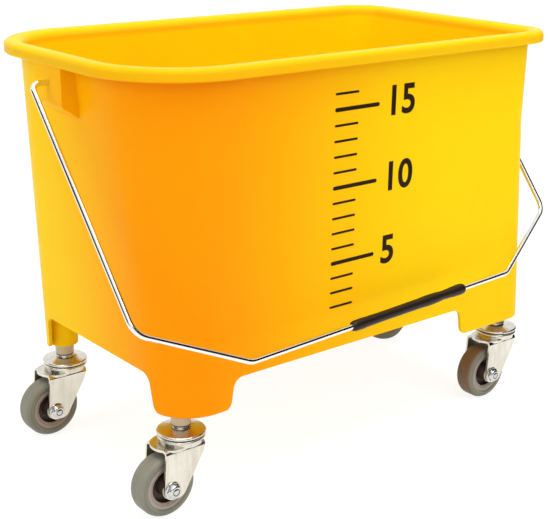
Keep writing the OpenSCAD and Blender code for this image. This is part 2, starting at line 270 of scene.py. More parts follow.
NOISE_LOW, NOISE_HIGH = 0.35, 0.65   # noise seldom passes these
CLOUD_SCALE = 26.0                   # clouds of shine, a few centimetres across
RIM_DEPTH = 0.45                     # share of the painted shade left on the rim, which paints the rim lighter


def new_group(name: str, inputs: dict[str, float | tuple]
              ) -> tuple[Tree, bpy.types.NodeOutputs]:
    """Starts a shader node group.

    Args:
        name: The group's name.
        inputs: Each input's default: a number, a vector of three or a colour
            of four.

    Returns:
        The group and the sockets that give its inputs.
    """
    group = bpy.data.node_groups.new(name, "ShaderNodeTree")
    for label, value in inputs.items():
        kind = ("Float" if isinstance(value, float)
                else "Vector" if len(value) == 3 else "Color")
        group.interface.new_socket(
            label, in_out="INPUT", socket_type=f"NodeSocket{kind}"
        ).default_value = value
    return group, group.nodes.new("NodeGroupInput").outputs


def put_out(group: Tree, results: dict[str, Socket]) -> Tree:
    """Ends a shader node group.

    Args:
        group: The group.
        results: Each output's socket.

    Returns:
        The finished group.
    """
    for label, result in results.items():
        kind = "Color" if result.type == "RGBA" else "Float"
        group.interface.new_socket(
            label, in_out="OUTPUT", socket_type=f"NodeSocket{kind}")
    end = group.nodes.new("NodeGroupOutput")
    for label, result in results.items():
        group.links.new(result, end.inputs[label])
    return group


def drift_group() -> Tree:
    """Builds the slow change of colour across a moulded or plated surface.

    Returns:
        A group that mixes two colours by soft, large noise.
    """
    group, given = new_group("colour_drift", {
        "Vector": (0, 0, 0), "Base": (1, 1, 1, 1), "Shade": (1, 1, 1, 1),
        "Scale": 10.0, "Amount": 0.3})
    clouds = noise(group, given["Vector"], given["Scale"], Detail=3.0)
    share = maths(group, "MULTIPLY", ramp(group, clouds, NOISE_LOW, NOISE_HIGH),
                  given["Amount"])
    return put_out(group, {
        "Color": blend(group, share, given["Base"], given["Shade"])})


def grain_group() -> Tree:
    """Builds the fine grain of a surface, for its roughness and its bump.

    Returns:
        A group that puts out a height and a roughness.
    """
    group, given = new_group("fine_grain", {
        "Vector": (0, 0, 0), "Scale": 400.0, "Roughness": 0.4,
        "Variation": 0.05})
    fine = noise(group, given["Vector"], given["Scale"], Detail=4.0)
    broad = noise(group, given["Vector"], CLOUD_SCALE, Detail=5.0)
    roughness = maths(group, "MULTIPLY_ADD", maths(group, "SUBTRACT", broad, 0.5),
                      given["Variation"], given["Roughness"])
    return put_out(group, {"Height": fine, "Roughness": roughness})


def tone_group() -> Tree:
    """Builds the slow change of the tub's colour across it and up it.

    It paints shade: the colour is deeper orange at the broad front corner and a
    little deeper towards the feet, where less light falls.

    Returns:
        A group that puts out two masks: 0 for pale and 1 for deep, and 0 below
        the rim and 1 on it.
    """
    group, given = new_group("painted_shade_tone", {
        "Vector": (0, 0, 0), "Way": (1, 0, 0), "Deep Way": -0.2,
        "Pale Way": 0.0, "Deep Z": 0.1, "Pale Z": 0.3, "Rim Low": 0.32,
        "Rim High": 0.34, "Share": 0.6})
    level = new_node(group, "SeparateXYZ", {0: given["Vector"]}).outputs["Z"]
    along = vector_maths(group, "DOT_PRODUCT", given["Vector"], given["Way"])
    across = ramp(group, along.outputs["Value"], given["Deep Way"],
                  given["Pale Way"], 1.0, 0.0, smooth=True)
    up = ramp(group, level, given["Deep Z"], given["Pale Z"], 1.0, 0.0,
              smooth=True)
    mask = new_node(group, "Mix", {"Factor": given["Share"], "A": up,
                                   "B": across}).outputs["Result"]
    rim = ramp(group, level, given["Rim Low"], given["Rim High"], smooth=True)
    # the rim keeps less of the painted shade, so it is painted lighter, as if lit from above
    faded = ramp(group, rim, 0.0, 1.0, 1.0, RIM_DEPTH)
    return put_out(group, {
        "Mask": maths(group, "MULTIPLY", mask, faded), "Rim": rim})


def scuff_group() -> Tree:
    """Builds the fine handling scratches and rubbed spots of a used surface.

    Returns:
        A group that puts out a mask, 1 in a scratch.
    """
    group, given = new_group("handling_scuffs", {
        "Vector": (0, 0, 0), "Scale": 60.0, "Stretch": (1, 1, 1),
        "Start": 0.66, "End": 0.74})
    stretched = vector_maths(group, "MULTIPLY", given["Vector"], given["Stretch"])
    streaks = noise(group, stretched.outputs["Vector"], given["Scale"],
                    Detail=6.0, Roughness=0.6, Distortion=0.4)
    return put_out(group, {
        "Mask": ramp(group, streaks, given["Start"], given["End"])})


def wheel_group() -> Tree:
    """Measures a point of a wheel from its axle.

    Returns:
        A group that puts out the distance from the axle's line and the distance
        along it from the wheel's middle, both in metres.
    """
    group, given = new_group("wheel_rings", {
        "Vector": (0, 0, 0), "Centre": (0, 0, 0), "Axle": (0, 1, 0)})
    arm = vector_maths(group, "SUBTRACT", given["Vector"], given["Centre"])
    arm = arm.outputs["Vector"]
    off = vector_maths(group, "CROSS_PRODUCT", arm, given["Axle"])
    radius = vector_maths(group, "LENGTH", off.outputs["Vector"])
    along = vector_maths(group, "DOT_PRODUCT", arm, given["Axle"])
    return put_out(group, {
        "Radius": radius.outputs["Value"],
        "Across": maths(group, "ABSOLUTE", along.outputs["Value"])})


@dataclass(frozen=True)
class Effects:
    """The shared node groups, each built once."""

    drift: Tree = field(default_factory=drift_group)
    grain: Tree = field(default_factory=grain_group)
    scuff: Tree = field(default_factory=scuff_group)
    tone: Tree = field(default_factory=tone_group)
    wheel: Tree = field(default_factory=wheel_group)

    def rings(self, tree: Tree, place: Socket,
              corner: Corner) -> tuple[Socket, Socket]:
        """Measures the surface of one wheel from its axle.

        Args:
            tree: The material's node tree.
            place: The surface's coordinates.
            corner: The wheel's corner.

        Returns:
            The distance from the axle's line and from the wheel's middle plane.
        """
        centre, axle = wheel_line(corner)
        node = new_node(tree, "Group", {
            "Vector": place, "Centre": centre, "Axle": axle},
            node_tree=self.wheel)
        return node.outputs["Radius"], node.outputs["Across"]


# ------------------------------------------------------------------ finishes


@dataclass(frozen=True)
class Finish:
    """One surface finish, as a procedural material."""

    name: str
    base: Colour
    shade: Colour
    roughness: float
    metallic: float = 0.0
    drift_scale: float = 9.0
    drift: float = 0.5
    grain_scale: float = 900.0
    grain_depth: float = 0.00002
    variation: float = 0.12
    subsurface: float = 0.0
    subsurface_radius: Colour = (1.0, 0.6, 0.3)
    subsurface_scale: float = 3 * MM
    specular: float = 0.5
    scuff_scale: float = 120.0
    scuff_stretch: Colour = (1.0, 1.0, 4.0)
    scuff_colour: Colour = (0.5, 0.5, 0.5)
    scuff_share: float = 0.3
    scuff_roughness: float = 0.15
    scuff_start: float = 0.66
    scuff_end: float = 0.74

    def start(self, label: str) -> tuple[Material, Tree, Node, Socket]:
        """Makes the material with its plain numbers.

        Args:
            label: The material's name.

        Returns:
            The material, its node tree, its shader and its place socket.
        """
        material = bpy.data.materials.new(label)
        material.use_nodes = True
        tree = material.node_tree
        shader = tree.nodes["Principled BSDF"]
        shader.inputs["Metallic"].default_value = self.metallic
        shader.inputs["Specular IOR Level"].default_value = self.specular
        if self.subsurface:
            shader.inputs["Subsurface Weight"].default_value = self.subsurface
            shader.inputs["Subsurface Radius"].default_value = (
                self.subsurface_radius)
            shader.inputs["Subsurface Scale"].default_value = (
                self.subsurface_scale)
        place = new_node(tree, "TexCoord", {}).outputs["Object"]
        return material, tree, shader, place

    def layers(self, tree: Tree, place: Socket,
               effects: Effects) -> tuple[Socket, Socket, Socket, Socket]:
        """Adds the colour drift, the grain and the scuffs.

        Args:
            tree: The material's node tree.
            place: The surface's coordinates.
            effects: The shared groups.

        Returns:
            The colour, the roughness, the grain's height and the scuff mask.
        """
        colour = new_node(tree, "Group", {
            "Vector": place, "Base": (*self.base, 1.0),
            "Shade": (*self.shade, 1.0), "Scale": self.drift_scale,
            "Amount": self.drift}, node_tree=effects.drift)
        grain = new_node(tree, "Group", {
            "Vector": place, "Scale": self.grain_scale,
            "Roughness": self.roughness, "Variation": self.variation,
        }, node_tree=effects.grain)
        rubbed = new_node(tree, "Group", {
            "Vector": place, "Scale": self.scuff_scale,
            "Stretch": self.scuff_stretch, "Start": self.scuff_start,
            "End": self.scuff_end}, node_tree=effects.scuff).outputs["Mask"]
        share = maths(tree, "MULTIPLY", rubbed, self.scuff_share)
        worn = blend(tree, share, colour.outputs["Color"], self.scuff_colour)
        dull = maths(tree, "MULTIPLY_ADD", rubbed, self.scuff_roughness,
                     grain.outputs["Roughness"])
        return worn, dull, grain.outputs["Height"], rubbed

    def material(self, effects: Effects) -> Material:
        """Builds the material.

        Args:
            effects: The shared groups.

        Returns:
            The new material.
        """
        material, tree, shader, place = self.start(self.name)
        colour, roughness, height, _ = self.layers(tree, place, effects)
        painted(tree, shader, colour, roughness, (height, self.grain_depth))
        return material


@dataclass(frozen=True)
class TubPlastic(Finish):
    """The tub's moulded plastic, deeper in tone at its broad front corner.

    Its colour paints shade: deeper orange at the broad front corner and towards
    the feet, and a duller yellow painted on the rim. Its reaches are measured
    along its way from the tub's lowest corner, its levels are shares of the
    tub's height, and its rim starts and ends at depths below the top.
    """

    # painted shade: the deep orange at the front corner and the feet
    deep: Colour = (1.0, 0.235, 0.0)
    # painted shade: a duller yellow on the rim
    rim: Colour = (0.77, 0.43, 0.006)
    rim_share: float = 0.62
    rim_start: float = 11 * MM
    rim_end: float = 7 * MM
    way: Place = (0.55, 0.83, 0.0)
    deep_reach: float = 15 * MM
    pale_reach: float = 182 * MM
    deep_level: float = -0.70
    pale_level: float = 0.98
    across_share: float = 0.85
    scuff_depth: float = 0.00001

    def material(self, effects: Effects) -> Material:
        """Builds the material.

        Args:
            effects: The shared groups.

        Returns:
            The new material.
        """
        low, high = span("tub")
        height, way = high.z - low.z, Vector(self.way)
        material, tree, shader, place = self.start(self.name)
        colour, roughness, grain, rubbed = self.layers(tree, place, effects)
        tone = new_node(tree, "Group", {
            "Vector": place, "Way": way,
            "Deep Way": way.dot(low) + self.deep_reach,
            "Pale Way": way.dot(low) + self.pale_reach,
            "Deep Z": low.z + self.deep_level * height,
            "Pale Z": low.z + self.pale_level * height,
            "Rim Low": high.z - self.rim_start,
            "Rim High": high.z - self.rim_end, "Share": self.across_share,
        }, node_tree=effects.tone)
        # paints shade: deep orange at the front corner and low down, and a duller yellow on the rim
        toned = blend(tree, tone.outputs["Mask"], colour, self.deep)
        share = maths(tree, "MULTIPLY", tone.outputs["Rim"], self.rim_share)
        painted(tree, shader, blend(tree, share, toned, self.rim), roughness,
                (grain, self.grain_depth), (rubbed, -self.scuff_depth))
        return material


@dataclass(frozen=True)
class Dirt:
    """What covers a tread: dust, and on the right-hand wheels a painted orange
    reflection of the tub.

    Its cover is a share of the tread's own colour that it hides, and its
    thinnest place has a share of that.
    """

    colour: Colour
    cover: float
    thinnest: float


DUST = Dirt((0.30, 0.27, 0.22), 0.45, 0.35)
# painted reflection: the orange tub's reflection painted on the right-hand treads
PAINTED_REFLECTION = Dirt((0.165, 0.070, 0.016), 0.85, 0.85)


@dataclass(frozen=True)
class TyreRubber(Finish):
    """A wheel's tyre, with its parting line, side rings and a covered tread: dust
    on the left-hand wheels, a painted orange reflection of the tub on the right.
    """

    tread_radius: float = 24.4 * MM
    tread_edge: float = 1.6 * MM
    tread_roughness: float = 0.15
    ring_radius: float = 21.6 * MM
    line_half: float = 0.40 * MM
    line_height: float = 0.35 * MM

    def for_wheel(self, effects: Effects, corner: Corner, dirt_and_reflection: Dirt) -> Material:
        """Builds the material of one tyre.

        Args:
            effects: The shared groups.
            corner: The tyre's corner.
            dirt_and_reflection: Its dust on a left-hand wheel, a painted reflection of the tub on a right-hand
                one.

        Returns:
            The new material.
        """
        material, tree, shader, place = self.start(f"{corner.value}_{self.name}")
        colour, roughness, height, rubbed = self.layers(tree, place, effects)
        radius, across = effects.rings(tree, place, corner)
        tread = ramp(tree, radius, self.tread_radius - self.tread_edge,
                     self.tread_radius)
        speckle = ramp(tree, rubbed, 0.0, 1.0, dirt_and_reflection.thinnest, 1.0)
        cover = maths(tree, "MULTIPLY", tread,
                      maths(tree, "MULTIPLY", speckle, dirt_and_reflection.cover))
        worn = maths(tree, "MULTIPLY_ADD", tread, self.tread_roughness, roughness)
        from_ring = maths(tree, "ABSOLUTE", maths(
            tree, "SUBTRACT", radius, self.ring_radius))
        parting, ring = (ramp(tree, offset, 0.0, self.line_half, 1.0, 0.0)
                         for offset in (across, from_ring))
        lines = maths(tree, "ADD", maths(tree, "MULTIPLY", parting, tread), ring)
        # covers the tread: dust on the left-hand wheels, a painted orange reflection of the tub on the right
        painted(tree, shader, blend(tree, cover, colour, dirt_and_reflection.colour), worn,
                (height, self.grain_depth), (lines, self.line_height))
        return material


@dataclass(frozen=True)
class CorePlastic(Finish):
    """A wheel's core: a pale rim ring round a recess darkened with painted shade."""

    # painted shade: the near-black colour inside the recess
    recess: Colour = (0.070, 0.040, 0.030)
    recess_radius: float = 15.42 * MM
    recess_edge: float = 0.5 * MM

    def for_wheel(self, effects: Effects, corner: Corner) -> Material:
        """Builds the material of one core.

        Args:
            effects: The shared groups.
            corner: The core's corner.

        Returns:
            The new material.
        """
        material, tree, shader, place = self.start(f"{corner.value}_{self.name}")
        colour, roughness, height, _ = self.layers(tree, place, effects)
        radius, _ = effects.rings(tree, place, corner)
        # paints shade in the recess inside the rim ring
        inside = ramp(tree, radius, self.recess_radius,
                      self.recess_radius + self.recess_edge, 1.0, 0.0)
        painted(tree, shader, blend(tree, inside, colour, self.recess), roughness,
                (height, self.grain_depth))
        return material


# the tub's yellow, with painted shade at its front corner, its feet and its rim
PLASTIC = TubPlastic(
    "yellow_plastic", (1.0, 0.660, 0.002), (1.0, 0.615, 0.002), 0.36,
    drift_scale=7.0, drift=0.6, grain_scale=650.0, grain_depth=0.00003,
    variation=0.14, subsurface=0.12, specular=0.04, scuff_scale=38.0,
    scuff_stretch=(1.0, 1.0, 3.5), scuff_colour=(0.97, 0.60, 0.04),
    scuff_share=0.2)
TYRE = TyreRubber(
    "grey_tyre", (0.222, 0.222, 0.165), (0.178, 0.178, 0.132), 0.38,
    drift_scale=55.0, grain_scale=1100.0, grain_depth=0.00003,
    scuff_colour=(0.30, 0.28, 0.23))
CORE = CorePlastic(
    "core_plastic", (0.40, 0.33, 0.28), (0.31, 0.255, 0.215), 0.45,
    drift_scale=50.0, specular=0.3, scuff_colour=(0.5, 0.44, 0.38))
WIRE = Finish(
    "bright_wire", (0.86, 0.86, 0.84), (0.74, 0.74, 0.72), 0.09,
    metallic=1.0, drift_scale=40.0, grain_scale=1500.0, grain_depth=0.000004,
    variation=0.06, scuff_colour=(0.62, 0.60, 0.56), scuff_share=0.5)
GRIP = Finish(
    "dark_grip", (0.013, 0.006, 0.003), (0.022, 0.010, 0.006), 0.40,
    grain_scale=1200.0, drift_scale=60.0, specular=0.28,
    scuff_colour=(0.07, 0.035, 0.02))
NYLON = Finish(
    "clear_nylon", (0.66, 0.54, 0.36), (0.52, 0.40, 0.25), 0.32,
    subsurface=0.4, drift_scale=50.0, scuff_colour=(0.7, 0.62, 0.5))
ZINC = Finish(
    "zinc_steel", (0.76, 0.735, 0.645), (0.60, 0.565, 0.475), 0.19,
    metallic=1.0, drift_scale=45.0, grain_scale=1300.0, grain_depth=0.000010,
    variation=0.14, scuff_scale=70.0, scuff_stretch=(3.0, 3.0, 0.35),
    scuff_colour=(0.50, 0.46, 0.44), scuff_share=0.45, scuff_roughness=0.05,
    scuff_start=0.45, scuff_end=0.70)
BOLT = Finish(
    "zinc_bolt", (0.66, 0.66, 0.65), (0.44, 0.44, 0.44), 0.12,
    metallic=1.0, drift_scale=90.0, grain_scale=1600.0, grain_depth=0.000006,
    scuff_scale=220.0)
BALL = Finish(
    "ball_steel", (0.70, 0.70, 0.70), (0.60, 0.60, 0.60), 0.10,
    metallic=1.0, drift_scale=200.0, grain_scale=2000.0, grain_depth=0.000002)
INK = Finish(
    "printed_ink", (0.016, 0.006, 0.002), (0.028, 0.010, 0.003), 0.5,
    drift_scale=30.0, grain_scale=1400.0, grain_depth=0.00001, specular=0.1,
    scuff_scale=240.0, scuff_colour=(0.60, 0.26, 0.01), scuff_share=0.35)
# a near-black finish for the dark rings that paint shade in the bolt crown's groove and at the sleeve's foot
SHADE_RING = Finish(
    "shade_ring_dark", (0.030, 0.024, 0.018), (0.060, 0.045, 0.030), 0.30,
    drift_scale=120.0, grain_scale=1500.0, specular=0.4,
    scuff_colour=(0.12, 0.09, 0.06))


# -------------------------------------------------------------------- pieces


PIECE_WELD = 0.000001    # nearer points of a new piece become one, in metres
PIECE_CREASE_DEG = 30.0
SOLID_WELD = 0.00001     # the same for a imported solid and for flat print
SOLID_CREASE_DEG = 28.0
FLAT_WEIGHT = 90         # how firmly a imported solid's flat faces stay flat


def finished(name: str, mesh: Mesh, material: Material, body: str,
             crease_deg: float = PIECE_CREASE_DEG) -> bpy.types.Object:
    """Turns a mesh into a piece of the object, with clean normals.

    Args:
        name: The piece's name.
        mesh: Its mesh, in place. It is freed.
        material: Its material.
        body: The body that it rides on.
        crease_deg: Edges sharper than this stay sharp.

    Returns:
        The piece.
    """
    bmesh.ops.remove_doubles(mesh, verts=mesh.verts, dist=PIECE_WELD)
    bmesh.ops.recalc_face_normals(mesh, faces=mesh.faces)
    for face in mesh.faces:
        face.smooth = True
    data = bpy.data.meshes.new(name)
    mesh.to_mesh(data)
    mesh.free()
    data.set_sharp_from_angle(angle=math.radians(crease_deg))
    data.materials.append(material)
    piece = bpy.data.objects.new(name, data)
    bpy.context.scene.collection.objects.link(piece)
    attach(piece, body)
    log.info("built %s", name)
    return piece


def turned(outline: Outline, steps: int, place: Vector, axis: Vector) -> Mesh:
    """Turns an outline about an axis.

    Args:
        outline: Radius and height pairs, in metres. One that starts on the axis
            is a solid's outline, and any other is a ring's closed section.
        steps: Faces round the turn.
        place: Where its height is 0.
        axis: Where its height grows.

    Returns:
        The turned mesh.
    """
    mesh = bmesh.new()
    points = [mesh.verts.new((radius, 0.0, height)) for radius, height in outline]
    edges = [mesh.edges.new(pair) for pair in zip(points, points[1:])]
    if outline[0][0] > 0:
        edges.append(mesh.edges.new((points[-1], points[0])))
    bmesh.ops.spin(
        mesh, geom=points + edges, cent=(0, 0, 0), axis=UP,
        angle=2 * math.pi, steps=steps, use_merge=True)
    turn = axis.to_track_quat("Z", "Y").to_matrix().to_4x4()
    bmesh.ops.transform(mesh, matrix=Matrix.Translation(place) @ turn,
                        verts=mesh.verts)
    return mesh


@dataclass
class HandGrip:
    """The moulded grip that turns on the bail's bar.

    The outline gives shares of the length, from the left end, and of the widest
    radius: blunt ends, a long shallow waist, a swell and a short neck.
    """

    bore: float = 2.30 * MM
    widest: float = 0.975
    steps: int = 48
    rows: int = 90
    crease_deg: float = 50.0
    outline: Outline = (
        (0.0, 0.62), (0.012, 0.84), (0.03, 0.93), (0.07, 0.95), (0.14, 0.90),
        (0.24, 0.86), (0.42, 0.87), (0.56, 0.90), (0.66, 0.97), (0.72, 0.95),
        (0.80, 0.82), (0.84, 0.86), (0.90, 0.96), (0.955, 1.0), (0.98, 0.96),
        (0.992, 0.84), (1.0, 0.62))

    def build(self, material: Material) -> None:
        """Builds the grip in place of its plain solid.

        Args:
            material: The grip's material.
        """
        place, axis = joint("grip_turn")
        along, radii = [], []
        for vertex in frame["nodes"]["grip"].data.vertices:
            arm = vertex.co - place
            along.append(arm.dot(axis))
            radii.append((arm - axis * arm.dot(axis)).length)
        start, end = min(along), max(along)
        widest = self.widest * max(radii)
        outer = [(self.radius(row / self.rows) * widest,
                  start + (end - start) * row / self.rows)
                 for row in range(self.rows + 1)]
        section = ((self.bore, start), *outer, (self.bore, end))
        mesh = turned(section, self.steps, place, axis)
        piece = finished("grip_sleeve", mesh, material, "grip",
                         self.crease_deg)
        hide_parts("grip")

    def radius(self, share: float) -> float:
        """Gives the outline's radius, eased from one point to the next.

        Args:
            share: 0 at the left end and 1 at the right end.

        Returns:
            The radius as a share of the widest one.
        """
        for (low, first), (high, second) in zip(self.outline, self.outline[1:]):
            if share <= high:
                part = (share - low) / (high - low)
                return first + (second - first) * part * part * (3 - 2 * part)
        return self.outline[-1][1]


@dataclass
class CasterDetails:
    """Small turned parts that finish a caster.

    Each outline gives radius and height pairs in millimetres, the unit of the
    thread's pitch and the shadow ring's radii too. A lip is measured from the
    wheel's middle, a flange from the fork's leg, a washer from the hub's end, a
    crown and the dark ring of painted shade in its groove from the bolt's head,
    a thread from the nut, and a thin dark ring of painted shade at the sleeve's
    foot from just above the race cap.
    """

    corner: Corner
    materials: dict[str, Material]
    leg_face: float = 14.5 * MM
    head_height: float = 3.2 * MM
    nut_height: float = 5.0 * MM
    hub_end: float = 11.7 * MM
    seal_lift: float = 2.0 * MM
    lip_crease_deg: float = 24.0
    steps: int = 48
    lip: Outline = (
        (15.5, 6.15), (15.5, 7.95), (15.0, 7.95), (13.8, 7.25), (13.4, 6.85),
        (13.4, 6.15))
    flange: Outline = (
        (4.8, -0.02), (6.8, -0.02), (6.9, 0.25), (6.8, 0.55), (5.9, 0.95),
        (4.8, 1.05))
    washer: Outline = (
        (4.75, 0.0), (7.9, 0.0), (8.0, 0.1), (8.0, 0.6), (7.9, 0.7), (4.75, 0.7))
    crown: Outline = (
        (0.0, -0.1), (5.2, -0.1), (5.1, 0.35), (4.6, 1.05), (3.9, 1.40),
        (3.0, 1.45), (2.9, 0.75), (2.3, 0.75), (2.3, 1.45), (1.8, 1.75),
        (0.0, 1.85))
    # a dark ring laid in the crown's groove as painted shade
    grime: Outline = (
        (2.25, 0.5), (2.95, 0.5), (2.95, 1.25), (2.6, 1.15), (2.25, 1.25))
    thread_start: Outline = ((0.0, -0.1), (3.02, -0.1))
    thread_turn: Outline = ((3.03, 0.0), (3.30, 0.175), (3.30, 0.325))
    thread_end: Outline = ((2.6, 1.9), (0.0, 1.9))
    thread_pitch: float = 0.5
    thread_turns: int = 3
    # a thin dark ring painted as the shadow line at the sleeve's foot
    seal_radius: float = 7.35
    seal_wire: float = 0.45
    seal_points: int = 12

    def build(self) -> None:
        """Builds the caster's small parts."""
        name = self.corner.value
        centre, axle = wheel_line(self.corner)
        for side, label in ((axle, "head"), (-axle, "nut")):
            self.part(f"{label}_core_lip", self.lip, centre, side, "core_plastic",
                      f"{name}_wheel", self.lip_crease_deg)
            self.part(f"{label}_flange", self.flange,
                      centre + side * self.leg_face, side)
            self.part(f"{label}_washer", self.washer,
                      centre + side * self.hub_end, side)
        head = centre + axle * (self.leg_face + self.head_height)
        self.part("head_crown", self.crown, head, axle)
        # painted shade: a dark ring in the crown's groove
        self.part("bolt_groove_shade", self.grime, head, axle, "shade_ring_dark")
        self.part("bolt_thread", self.thread(),
                  centre - axle * (self.leg_face + self.nut_height), -axle)
        # painted shade: a thin dark ring at the sleeve's foot
        low, high = span(f"{name}_kingpin")
        seat = (low + high) / 2
        seat.z = span(f"{name}_race_cap")[1].z + self.seal_lift
        self.part("sleeve_shadow_ring", self.seal(), seat, UP, "shade_ring_dark", "tub")

    def part(self, label: str, outline: Outline, place: Vector, axis: Vector,
             finish: str = "zinc_bolt", body: str | None = None,
             crease_deg: float = PIECE_CREASE_DEG) -> None:
        """Builds one turned part.

        Args:
            label: Its name, after the corner's.
            outline: Radius and height pairs in millimetres.
            place: Where its height is 0.
            axis: Where its height grows.
            finish: Its finish.
            body: The body that it rides on, where it isn't the fork.
            crease_deg: Edges sharper than this stay sharp.
        """
        name = self.corner.value
        section = tuple((radius * MM, height * MM) for radius, height in outline)
        mesh = turned(section, self.steps, place, axis)
        finished(f"{name}_{label}", mesh, self.materials[finish],
                 body or f"{name}_fork", crease_deg)

    def thread(self) -> Outline:
        """Outlines the bolt's thread beyond the nut.

        Returns:
            Radius and height pairs in millimetres.
        """
        turns = ((radius, height + turn * self.thread_pitch)
                 for turn in range(self.thread_turns)
                 for radius, height in self.thread_turn)
        return (*self.thread_start, *turns, *self.thread_end)

    def seal(self) -> Outline:
        """Outlines the thin dark ring on top of the race cap that paints the shadow line at the sleeve's foot.

        Returns:
            Radius and height pairs in millimetres.
        """
        turns = (2 * math.pi * k / self.seal_points
                 for k in range(self.seal_points))
        return tuple((self.seal_radius + self.seal_wire * math.cos(turn),
                      self.seal_wire * math.sin(turn)) for turn in turns)


def tub_surface() -> BVHTree:
    """Makes the tub's surface ready for laying print on it.

    Returns:
        The surface, for casting rays.
    """
    tub = frame["nodes"]["tub"].data
    return BVHTree.FromPolygons([vertex.co for vertex in tub.vertices],
                                [face.vertices for face in tub.polygons])


@dataclass
class FillScale:
    """Plain fill marks and numbers in litres, printed on the front wall."""

    first: int = 2
    litres: int = 16
    numbered: int = 5
    floor_rise: float = 36.6 * MM
    litre_rise: float = 12.25 * MM
    middle: float = -34 * MM
    long_mark: float = 46 * MM
    long_thick: float = 3.2 * MM
    short_mark: float = 24 * MM
    short_thick: float = 1.9 * MM
    mark_round: float = 0.45
    mark_parts: int = 6
    round_steps: int = 4
    number_gap: float = 7 * MM
    number_size: float = 33 * MM
    number_weight: float = 0.75 * MM
    number_steps: int = 6
    proud: float = 0.10 * MM
    sunk: float = 0.15 * MM
    ray_start: float = -400 * MM
    wall: BVHTree = field(default_factory=tub_surface)

    def build(self, ink: Material) -> None:
        """Prints the marks and the numbers.

        Args:
            ink: The ink's material.
        """
        low, high = span("tub")
        base, left = low.z + self.floor_rise, (low.x + high.x) / 2 + self.middle
        for litre in range(self.first, self.litres + 1):
            level = base + litre * self.litre_rise
            if litre % self.numbered:
                self.mark(litre, left, level, self.short_mark, self.short_thick,
                          ink)
            else:
                self.mark(litre, left, level, self.long_mark, self.long_thick, ink)
                self.number(litre, left + self.long_mark + self.number_gap,
                            level, ink)

    def mark(self, litre: int, left: float, level: float, length: float,
             thick: float, ink: Material) -> None:
        """Prints one round-ended mark.

        Args:
            litre: The litres that it stands for.
            left: Its left end.
            level: Its middle height.
            length: Its length.
            thick: Its height.
            ink: The ink's material.
        """
        mesh = bmesh.new()
        bmesh.ops.create_grid(
            mesh, x_segments=self.mark_parts, y_segments=1, size=0.5)
        bmesh.ops.scale(mesh, vec=(length, thick, 1.0), verts=mesh.verts)
        ends = [vertex for vertex in mesh.verts if len(vertex.link_edges) == 2]
        bmesh.ops.bevel(
            mesh, geom=ends, offset=self.mark_round * thick,
            segments=self.round_steps, profile=0.5, affect="VERTICES",
            material=-1)
        self.lay(f"fill_mark_{litre}", mesh, left + length / 2, level, ink)

    def number(self, litre: int, left: float, level: float,
               ink: Material) -> None:
        """Prints one number.

        Args:
            litre: The number.
            left: Its left end.
            level: Its middle height.
            ink: The ink's material.
        """
        curve = bpy.data.curves.new(f"number_{litre}", "FONT")
        curve.body, curve.size = str(litre), self.number_size
        curve.align_y = "CENTER"
        curve.resolution_u = self.number_steps
        curve.offset = self.number_weight
        writing = bpy.data.objects.new(curve.name, curve)
        bpy.context.scene.collection.objects.link(writing)
        data = bpy.data.meshes.new_from_object(
            writing.evaluated_get(bpy.context.evaluated_depsgraph_get()))
        bpy.data.objects.remove(writing)
        bpy.data.curves.remove(curve)
        mesh = bmesh.new()
        mesh.from_mesh(data)
        bpy.data.meshes.remove(data)
        self.lay(f"fill_number_{litre}", mesh, left, level, ink)

    def lay(self, name: str, mesh: Mesh, x: float, level: float,
            ink: Material) -> None:
        """Lays a flat shape on the front wall as a thin layer of ink.

        Args:
            name: The piece's name.
            mesh: The shape, flat and at the origin.
            x: Where its origin goes, from left to right.
            level: Where its origin goes, in height.
            ink: The ink's material.
        """
        upright = Matrix.Rotation(math.pi / 2, 4, "X")
        place = Matrix.Translation((x, 0.0, level))
        bmesh.ops.transform(mesh, matrix=place @ upright, verts=mesh.verts)
        bmesh.ops.remove_doubles(mesh, verts=mesh.verts, dist=SOLID_WELD)
        grown = bmesh.ops.extrude_face_region(
            mesh, geom=list(mesh.faces), use_keep_orig=True)
        outside = {v for v in grown["geom"] if isinstance(v, bmesh.types.BMVert)}
        for vertex in mesh.verts:
            start = Vector((vertex.co.x, self.ray_start, vertex.co.z))
            spot, normal, _, _ = self.wall.ray_cast(start, Vector((0, 1, 0)))
            vertex.co = spot + normal * (
                self.proud if vertex in outside else -self.sunk)
        finished(name, mesh, ink, "tub")


def dress_solids(materials: dict[str, Material]) -> None:
    """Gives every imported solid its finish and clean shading.

    Args:
        materials: The materials by node name or by the record's slot names.
    """
    slots = {part["node"]: part["material_slot"]
             for part in frame["record"]["subparts"]}
    for name, node in frame["nodes"].items():
        node.data.materials.clear()
        node.data.materials.append(materials.get(name) or materials[slots[name]])
        if "custom_normal" in node.data.attributes:
            node.data.attributes.remove(node.data.attributes["custom_normal"])
        node.data.shade_smooth()
        weld = node.modifiers.new("weld", "WELD")
        weld.merge_threshold = SOLID_WELD
        crease = node.modifiers.new("crease", "EDGE_SPLIT")
        crease.split_angle = math.radians(SOLID_CREASE_DEG)
        crease.use_edge_sharp = False
        flat = node.modifiers.new("flat_faces", "WEIGHTED_NORMAL")
        flat.mode = "FACE_AREA"
        flat.weight = FLAT_WEIGHT
        log.info("dressed %s with %s", name, slots[name])


# -------------------------------------------------------------------- studio


def facing(place: Vector, aim: Vector) -> Matrix:
    """Places something that looks down its own Z axis, so that it faces a point.

    Args:
        place: Where it stands.
        aim: The point that it faces.

    Returns:
        Its place and turn.
    """
    turn = (aim - place).to_track_quat("-Z", "Y")
    return Matrix.Translation(place) @ turn.to_matrix().to_4x4()


